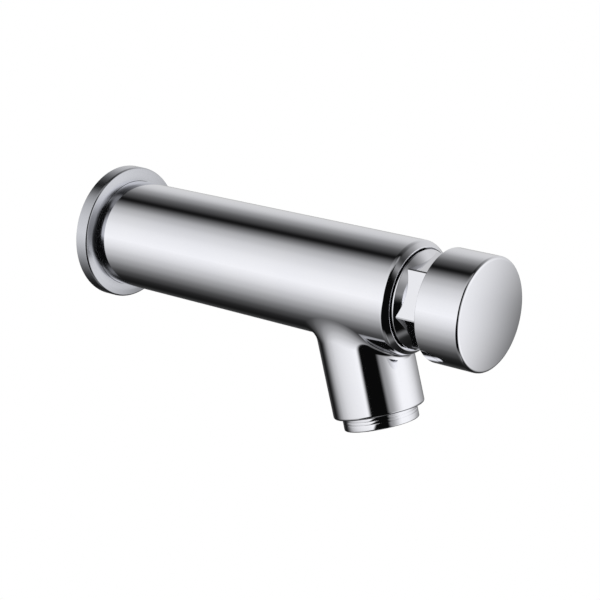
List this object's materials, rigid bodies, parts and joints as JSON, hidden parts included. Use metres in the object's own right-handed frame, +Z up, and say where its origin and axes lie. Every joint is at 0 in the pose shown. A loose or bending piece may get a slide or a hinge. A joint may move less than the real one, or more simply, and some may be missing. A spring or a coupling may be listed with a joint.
{
  "type": "wall-mounted push tap",
  "caption": "Chromed wall-mounted push tap: round body with a leaning spout and aerator, hexagon cartridge, and a domed button that opens a self-closing timed valve.",
  "frame": {"origin": "on the axis of the body and inlet thread, in the plane of the wall", "axes": "+Z up, +Y into the wall along the inlet thread, so the tap reaches out along -Y and its button faces -Y"},
  "size_m": [0.05, 0.1851, 0.0769],
  "materials": {
    "chrome": "polished chrome plating on brass",
    "brass": "turned",
    "rubber": "moulded",
    "acetal": "moulded",
    "stainless": "turned",
    "fibre": "pressed fibre"
  },
  "bodies": {
    "tap": {"tap_body": "chrome", "wall_flange": "chrome", "wall_gasket": "rubber", "flange_grip_ring": "rubber", "inlet_nipple": "brass", "inlet_washer": "fibre", "inlet_strainer": "stainless", "cartridge_head": "chrome", "collar_seal": "rubber", "timing_cylinder": "acetal", "guide_o_ring": "rubber", "valve_cage": "acetal", "nose_o_ring": "rubber", "valve_seat": "stainless", "return_spring": "stainless", "gland_nut": "brass", "gland_bush": "acetal", "stem_o_ring": "rubber", "aerator_housing": "chrome", "aerator_washer": "rubber", "aerator_insert": "acetal", "aerator_mesh": "acetal"},
    "plunger": {"push_button": "chrome", "button_lock_nut": "stainless", "stem": "stainless", "piston": "acetal", "piston_lip_seal": "rubber", "piston_circlip": "stainless", "valve_washer": "rubber", "valve_disc": "brass", "valve_nut": "stainless"}
  },
  "joints": [
    {"name": "button_push", "type": "slide", "parent": "tap", "child": "plunger", "axis": [0, 1, 0], "range_m": [0, 0.009], "stiffness_N_per_m": 1400, "springref_m": -0.012, "deforming": ["return_spring"]}
  ]
}
